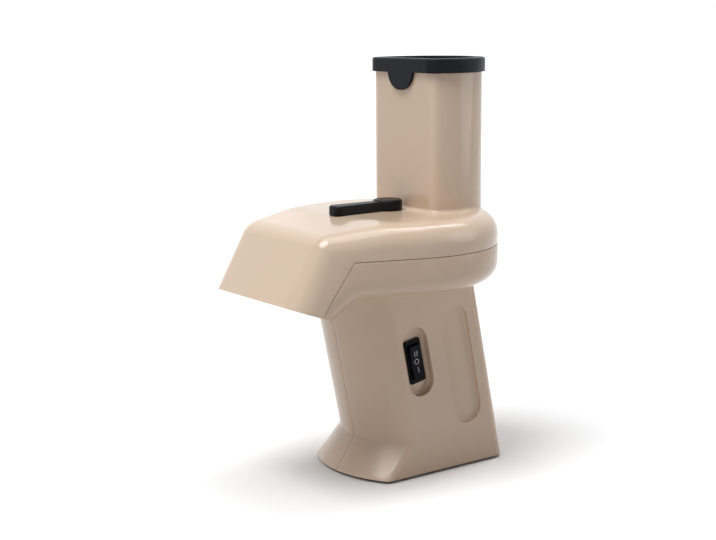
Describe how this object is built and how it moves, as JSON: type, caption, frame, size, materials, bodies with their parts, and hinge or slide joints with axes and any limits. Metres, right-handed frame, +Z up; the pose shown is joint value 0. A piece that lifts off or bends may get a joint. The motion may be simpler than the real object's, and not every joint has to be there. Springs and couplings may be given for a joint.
{
  "type": "electric grater",
  "caption": "Upright electric grater with a leaning motor column, a round disc housing with a hooded chute, a feed tube with a hollow pusher and a cover lock lever.",
  "frame": {"origin": "on the table under the middle of the bounding box, which is 16.75 mm ahead of the disc axis", "axes": "+Z up along the disc axis, -Y towards the chute, +X towards the side with the switch"},
  "size_m": [0.152, 0.1854, 0.2818],
  "materials": {
    "body_plastic": "satin moulded, warm cream",
    "black_plastic": "satin moulded, black",
    "inner_plastic": "plain moulded, off-white",
    "rubber": "matt",
    "bright_steel": "rolled sheet and turned bar",
    "screw_steel": "zinc plated",
    "motor_steel": "plated and dull",
    "rotor_iron": "laminated and varnished",
    "magnet": "sintered",
    "bronze": "sintered, oiled",
    "board": "lacquered"
  },
  "bodies": {
    "base": {"left_body_shell": "body_plastic", "right_body_shell": "body_plastic", "shell_screws": "screw_steel", "base_plate": "black_plastic", "base_screws": "screw_steel", "rubber_feet": "rubber", "rectifier_board": "board", "cord_gland": "black_plastic", "switch_housing": "black_plastic", "switch_terminals": "bright_steel", "motor_can": "motor_steel", "motor_magnets": "magnet", "motor_end_cap": "inner_plastic", "motor_screws": "screw_steel", "gear_plate": "inner_plastic", "gear_plate_screws": "screw_steel", "lower_bush": "bronze", "upper_bush": "bronze", "shaft_seal": "rubber", "lower_housing": "body_plastic"},
    "drive": {"drive_gear": "inner_plastic", "drive_shaft": "bright_steel", "cutting_disc": "bright_steel", "disc_hub": "inner_plastic", "disc_rivets": "bright_steel"},
    "motor": {"motor_rotor": "rotor_iron", "motor_pinion": "bright_steel"},
    "rocker": {"switch_rocker": "black_plastic"},
    "cover": {"top_cover": "body_plastic", "lock_tray": "inner_plastic", "lock_tray_screws": "screw_steel"},
    "lever": {"lock_lever": "black_plastic", "lock_spindle": "inner_plastic"},
    "left_bolt": {"left_lock_bolt": "inner_plastic"},
    "right_bolt": {"right_lock_bolt": "inner_plastic"},
    "pusher": {"food_pusher": "black_plastic"}
  },
  "joints": [
    {"name": "cover_lift", "type": "slide", "parent": "base", "child": "cover", "axis": [0, 0, 1], "range_m": [0, 0.06]},
    {"name": "pusher_slide", "type": "slide", "parent": "cover", "child": "pusher", "axis": [0, 0, 1], "range_m": [0, 0.115]},
    {"name": "lock_turn", "type": "hinge", "parent": "cover", "child": "lever", "pos_m": [0, 0.01745, 0.182], "axis": [0, 0, 1], "range_deg": [0, 90]},
    {"name": "left_bolt_slide", "type": "slide", "parent": "cover", "child": "left_bolt", "axis": [-1, 0, 0], "range_m": [0, 0.0063]},
    {"name": "right_bolt_slide", "type": "slide", "parent": "cover", "child": "right_bolt", "axis": [1, 0, 0], "range_m": [0, 0.0063]},
    {"name": "rocker_tilt", "type": "hinge", "parent": "base", "child": "rocker", "pos_m": [0.0378, 0.01025, 0.081], "axis": [0, 0.9796, 0.2008], "range_deg": [-10, 10]},
    {"name": "drive_spin", "type": "hinge", "parent": "base", "child": "drive", "pos_m": [0, 0.01675, 0.128], "axis": [0, 0, 1], "continuous": true},
    {"name": "motor_spin", "type": "hinge", "parent": "base", "child": "motor", "pos_m": [0, 0.04075, 0.07], "axis": [0, 0, 1], "continuous": true}
  ],
  "couplings": [
    {"joint": "motor_spin", "follows": "drive_spin", "ratio": -5},
    {"joint": "left_bolt_slide", "follows": "lock_turn", "m_per_rad": 0.004},
    {"joint": "right_bolt_slide", "follows": "lock_turn", "m_per_rad": 0.004}
  ]
}
